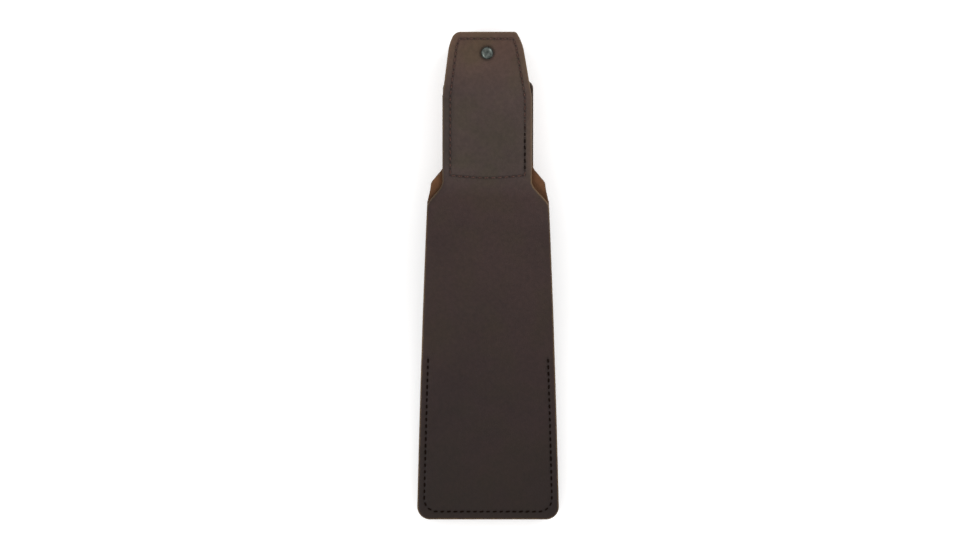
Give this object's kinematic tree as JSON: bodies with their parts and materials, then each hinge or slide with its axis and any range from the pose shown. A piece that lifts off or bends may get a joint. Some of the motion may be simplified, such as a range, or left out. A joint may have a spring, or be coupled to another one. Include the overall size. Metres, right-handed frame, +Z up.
{
  "type": "hori hori knife in belt sheath",
  "caption": "Gardener's gutter-bladed digging knife held in a dark brown leather belt sheath with a belt tunnel, stitched tongue and snap strap, lying on its front.",
  "frame": {"origin": "middle of the bounding box's base, on the ground that the sheath lies on with its front down", "axes": "+X across the sheath, +Y towards the tongue's end, +Z up out of the sheath's back; the sheath's back rises 4.04 degrees towards +Y"},
  "size_m": [0.091, 0.3124, 0.0388],
  "materials": {
    "cover_leather": "waxed grain, dark brown",
    "panel_leather": "grain, dark brown, flesh side behind",
    "cut_leather": "raw cut edge",
    "dark_thread": "waxed thread",
    "tongue_thread": "waxed thread",
    "blade_steel": "satin ground",
    "handle_wood": "oiled",
    "rivet_brass": "filed flush",
    "gunmetal": "antique gunmetal plating"
  },
  "bodies": {
    "sheath": {"belt_cover": "cover_leather", "back_panel": "panel_leather", "tongue_liner": "cut_leather", "front_panel": "panel_leather", "welt": "cut_leather", "lower_seam_back_thread": "dark_thread", "lower_seam_front_thread": "dark_thread", "side_seam_thread_left": "dark_thread", "side_seam_thread_right": "dark_thread", "box_seam_back_thread": "tongue_thread", "strap_band": "panel_leather", "tongue_rivet_cap": "gunmetal", "tongue_rivet_post": "gunmetal"},
    "knife": {"blade_and_tang": "blade_steel", "handle_scale_back": "handle_wood", "handle_scale_front": "handle_wood", "handle_rivet_1": "rivet_brass", "handle_rivet_2": "rivet_brass", "handle_rivet_3": "rivet_brass"},
    "cap_flap": {"strap_cap_flap": "panel_leather", "snap_cap": "gunmetal", "snap_socket": "gunmetal"},
    "stud_flap": {"strap_stud_flap": "panel_leather", "snap_stud": "gunmetal", "snap_eyelet": "gunmetal"}
  },
  "joints": [
    {"name": "knife_slide", "type": "slide", "parent": "sheath", "child": "knife", "axis": [0, 0.9988, 0.0495], "range_m": [0, 0.095]},
    {"name": "cap_flap_hinge", "type": "hinge", "parent": "sheath", "child": "cap_flap", "pos_m": [-0.0182, 0.14471, 0.00406], "axis": [0, 0.9975, 0.0704], "range_deg": [0, 140]},
    {"name": "stud_flap_hinge", "type": "hinge", "parent": "sheath", "child": "stud_flap", "pos_m": [0.0182, 0.14436, 0.00904], "axis": [0, -0.9975, -0.0704], "range_deg": [0, 70]}
  ],
  "couplings": [
    {"joint": "stud_flap_hinge", "follows": "cap_flap_hinge", "ratio": 0.45}
  ]
}
